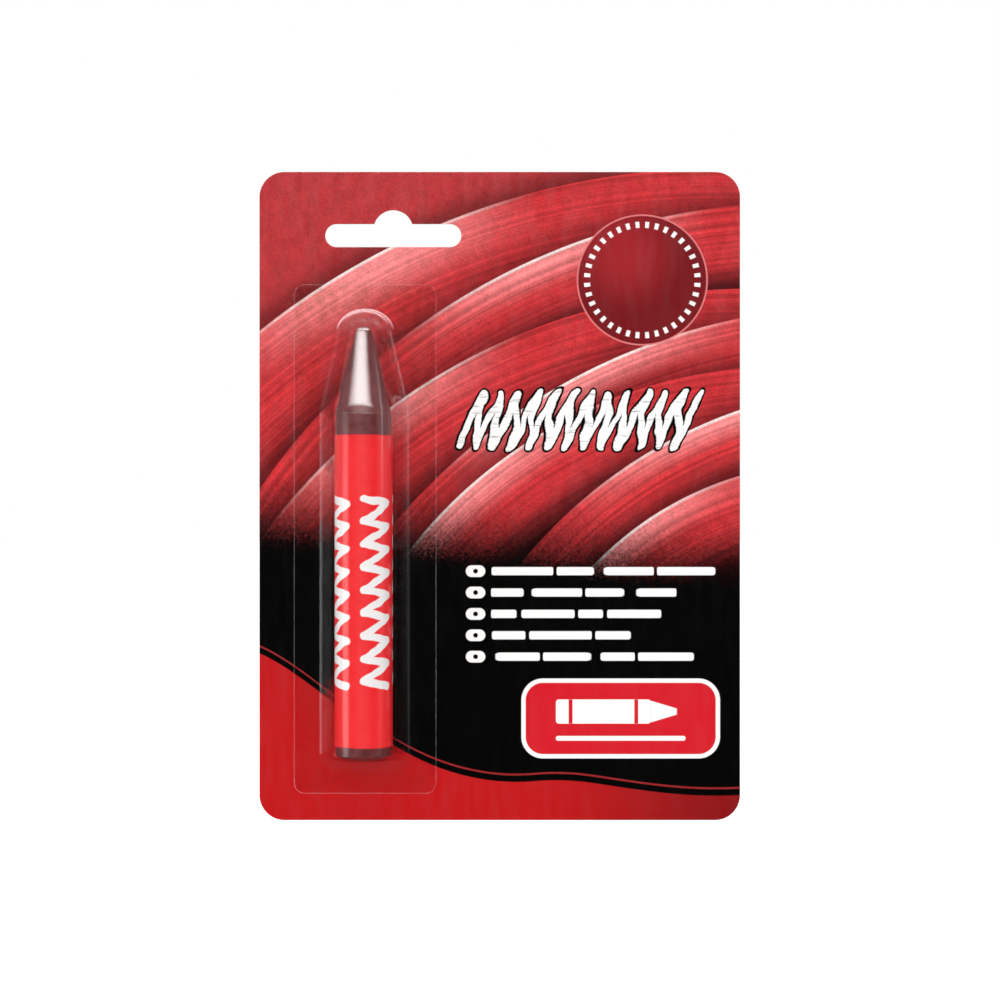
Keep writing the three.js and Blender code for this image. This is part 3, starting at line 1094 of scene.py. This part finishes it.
def make_surround():
    """White to the camera. As light it is dark in front, pale at the sides and bright behind and above."""
    world = bpy.data.worlds.new("studio")
    bpy.context.scene.world = world
    net = Net(world, "ShaderNodeOutputWorld")
    path = net.node("ShaderNodeLightPath").outputs
    _, backward, upward = net.axes(net.coordinates["Generated"])
    studio = net.shader("ShaderNodeBackground", Color=surround_level(net, backward))
    overhead = net.smooth(upward, OVERHEAD_FROM, OVERHEAD_FULL, 0, OVERHEAD_LEVEL)
    kept_in_gloss = 1.0 - Field(net, path["Is Glossy Ray"]) * OVERHEAD_OFF_IN_GLOSS
    top = net.shader("ShaderNodeBackground", Color=SURROUND_WHITE, Strength=overhead * kept_in_gloss)
    white = net.shader("ShaderNodeBackground", Color=SURROUND_WHITE)
    net.end(net.mix_shaders(path["Is Camera Ray"], net.add_shaders(studio, top), white))


def fade_sides(lamp_data, share):
    """Lets a lamp fade over a share of its size at each side."""
    net = Net(lamp_data, "ShaderNodeOutputLight")
    across, along, _ = net.axes(net.node("ShaderNodeNewGeometry").outputs["Parametric"])
    fade_across = net.smooth(net.math("PINGPONG", across, 0.5), 0, share)
    fade_along = net.smooth(net.math("PINGPONG", along, 0.5), 0, share)
    net.end(net.shader("ShaderNodeEmission", Strength=fade_across * fade_along))


def make_lamp(name, azimuth, elevation, distance, width, height, radiance, lights="all", fade=0.3):
    """A soft box that faces the card. Azimuth is to the right of the camera's side.

    What it lights is "all", "gloss" or "matt", and it fades over a share of its size at each side.
    """
    turn = math.radians(azimuth)
    lift = math.radians(elevation)
    away = Vector(
        (math.sin(turn) * math.cos(lift), -math.cos(turn) * math.cos(lift), math.sin(lift))
    )
    data = bpy.data.lights.new(name, "AREA")
    data.shape = "RECTANGLE"
    data.size = width
    data.size_y = height
    data.energy = radiance * math.pi * width * height
    fade_sides(data, fade)
    lamp = bpy.data.objects.new(name, data)
    lamp.location = CARD_MIDDLE + away * distance
    lamp.rotation_euler = (-away).to_track_quat("-Z", "Y").to_euler()
    lamp.visible_glossy = lights != "matt"
    lamp.visible_diffuse = lights != "gloss"
    bpy.context.scene.collection.objects.link(lamp)


def make_lamps():
    """A broad box in front for the colours, two boxes above for the gloss and a strip at each side."""
    make_lamp(
        "front_box", azimuth=-4, elevation=4, distance=1.2,
        width=1.6, height=1.3, radiance=2.9, lights="matt",
    )
    make_lamp(
        "key_box", azimuth=-11, elevation=29, distance=0.9,
        width=2.1, height=0.28, radiance=13, lights="gloss", fade=0.45,
    )
    make_lamp(
        "top_box", azimuth=0, elevation=48, distance=0.9,
        width=1.4, height=0.35, radiance=11, lights="gloss",
    )
    make_lamp(
        "right_strip", azimuth=72, elevation=14, distance=0.8,
        width=0.14, height=0.5, radiance=2.8,
    )
    make_lamp(
        "left_strip", azimuth=-66, elevation=-12, distance=0.8,
        width=0.44, height=0.6, radiance=1.9,
    )


def make_camera():
    """A camera straight in front of the card."""
    data = bpy.data.cameras.new("camera")
    data.sensor_width = SENSOR
    data.lens = SENSOR * VIEW_DISTANCE / VIEW_WIDTH
    data.clip_start = 0.01
    data.clip_end = 100
    camera = bpy.data.objects.new("camera", data)
    camera.location = CARD_MIDDLE + VIEW_OFFSET
    camera.location.y = card_low.y - VIEW_DISTANCE
    camera.rotation_euler = (math.pi / 2, 0, 0)
    bpy.context.scene.collection.objects.link(camera)
    bpy.context.scene.camera = camera


make_floor()
make_surround()
make_lamps()
make_camera()
bpy.context.scene.view_settings.view_transform = "Standard"
# Light crosses the film and the seal twice, which is more clear layers than the default allows
bpy.context.scene.cycles.transparent_max_bounces = 32
